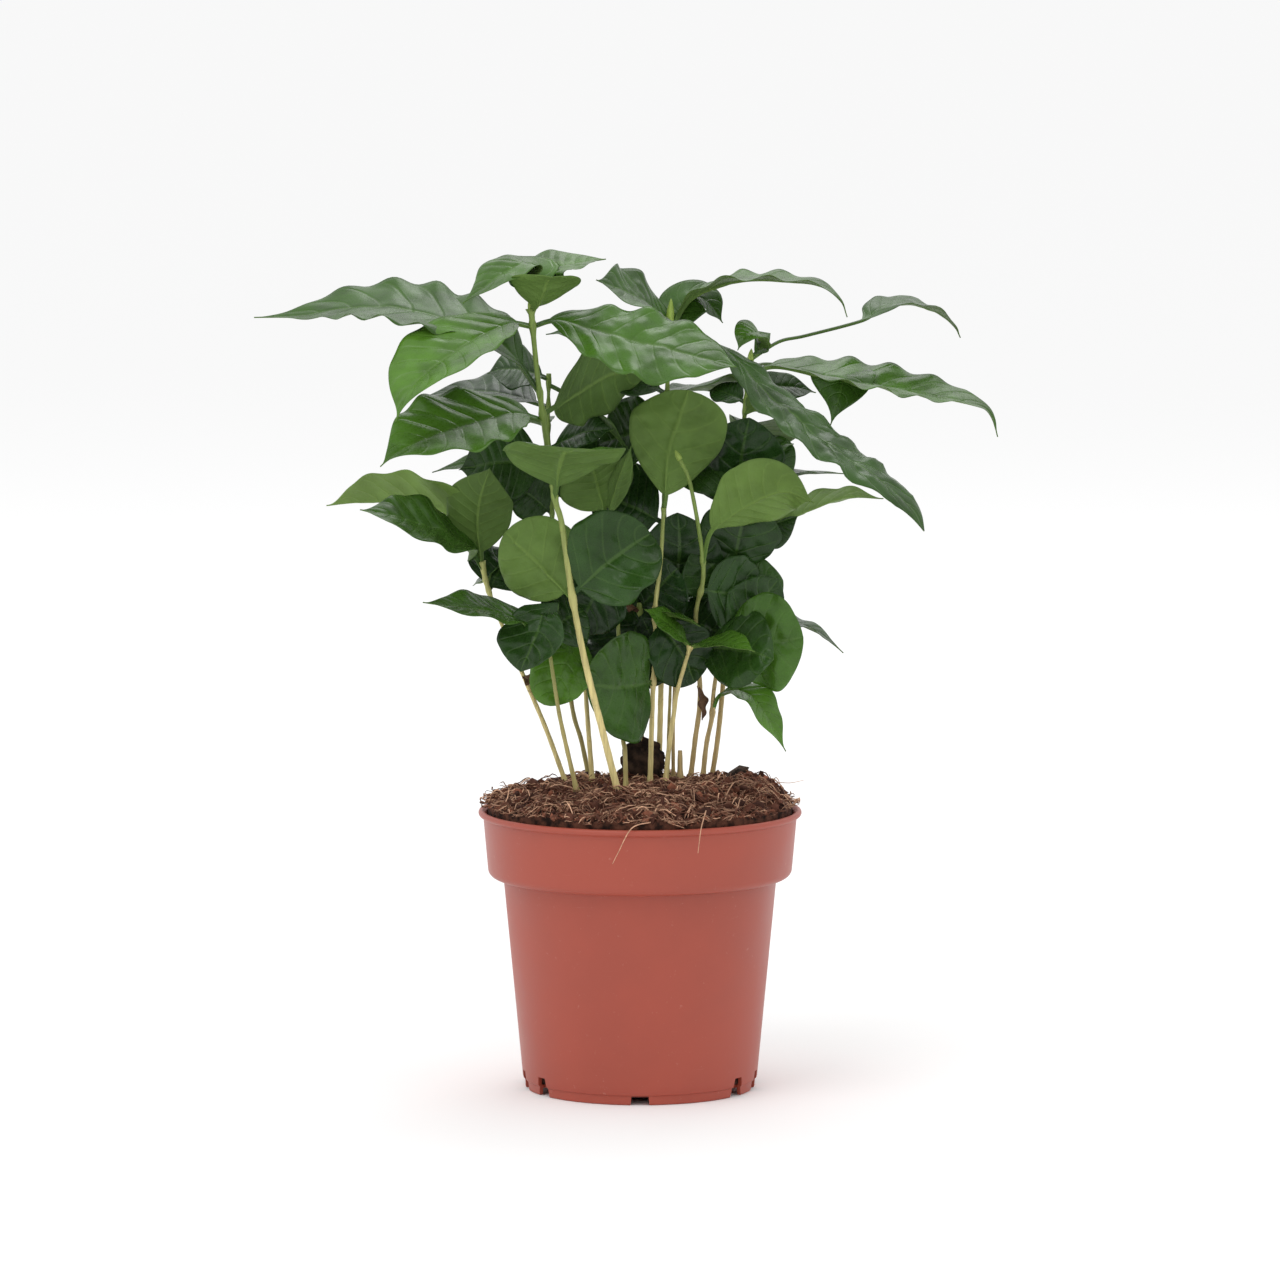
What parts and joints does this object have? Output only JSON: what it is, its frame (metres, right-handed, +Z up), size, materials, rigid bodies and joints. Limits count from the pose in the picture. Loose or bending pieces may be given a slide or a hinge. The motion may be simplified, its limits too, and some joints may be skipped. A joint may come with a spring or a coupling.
{
  "type": "potted coffee plant",
  "caption": "Young potted coffee plant: a clump of thin seedling stems with glossy wavy leaves growing from soil in a tapered terracotta-coloured plastic nursery pot with a deep collar.",
  "frame": {"origin": "centre of the pot's base, on the ground", "axes": "+Z up; the viewed front faces -Y; +X is the viewer's right"},
  "size_m": [0.2755, 0.1217, 0.3113],
  "materials": {
    "pot": "satin",
    "soil": "matte",
    "bark": "matte",
    "stem_pale": "satin",
    "stem_olive": "satin",
    "stem_tan": "matte",
    "leaf_dark": "satin",
    "leaf_green": "satin",
    "leaf_light": "satin"
  },
  "bodies": {
    "root": {"pot": "pot", "soil": "soil", "bark_chunk": "bark", "stem_front": "stem_pale", "stem_back": "stem_pale", "stem_centre": "stem_pale", "stem_bud": "stem_tan", "stem_right": "stem_tan", "stem_left": "stem_pale", "stem_rear_left": "stem_olive", "stem_inner": "stem_olive", "stem_low_left": "stem_olive", "stem_pale_left": "stem_pale", "stem_low_back": "stem_olive", "stem_low_front": "stem_pale", "stem_thin": "stem_olive", "stem_short": "stem_tan", "stem_stub": "stem_tan", "stem_low_right": "stem_tan", "leaf_low_pair_left": "leaf_light", "leaf_low_pair_right": "leaf_dark", "leaf_towards_front": "leaf_green", "leaf_long_left": "leaf_dark", "leaf_mid_left": "leaf_green", "leaf_mid_right": "leaf_green", "leaf_bright_left": "leaf_green", "leaf_wavy_right": "leaf_green", "leaf_top_left": "leaf_green", "leaf_top_right": "leaf_green", "leaf_back_left": "leaf_dark", "leaf_back_right": "leaf_green", "leaf_centre_top": "leaf_light", "leaf_centre_low": "leaf_dark", "leaf_centre_hang": "leaf_dark", "leaf_bud_right": "leaf_light", "leaf_bud_dark": "leaf_dark", "leaf_bud_low": "leaf_dark", "leaf_long_right": "leaf_dark", "leaf_drooping": "leaf_dark", "leaf_far_right": "leaf_dark", "leaf_right_round": "leaf_dark", "leaf_right_light": "leaf_light", "leaf_right_low": "leaf_dark", "leaf_left_up": "leaf_light", "leaf_left_front": "leaf_dark", "leaf_left_far": "leaf_light", "leaf_left_low": "leaf_dark", "leaf_low_left_out": "leaf_green", "leaf_low_left_hang": "leaf_dark", "leaf_pale_round": "leaf_light", "leaf_rear_tip": "leaf_dark", "leaf_rear_left": "leaf_dark", "leaf_rear_mid": "leaf_dark", "leaf_inner_up": "leaf_light", "leaf_inner_dark": "leaf_dark", "leaf_inner_hang": "leaf_dark", "leaf_thin_up": "leaf_dark", "leaf_small_light": "leaf_light", "leaf_low_right_big": "leaf_green", "leaf_low_right_hang": "leaf_green"}
  },
  "joints": []
}
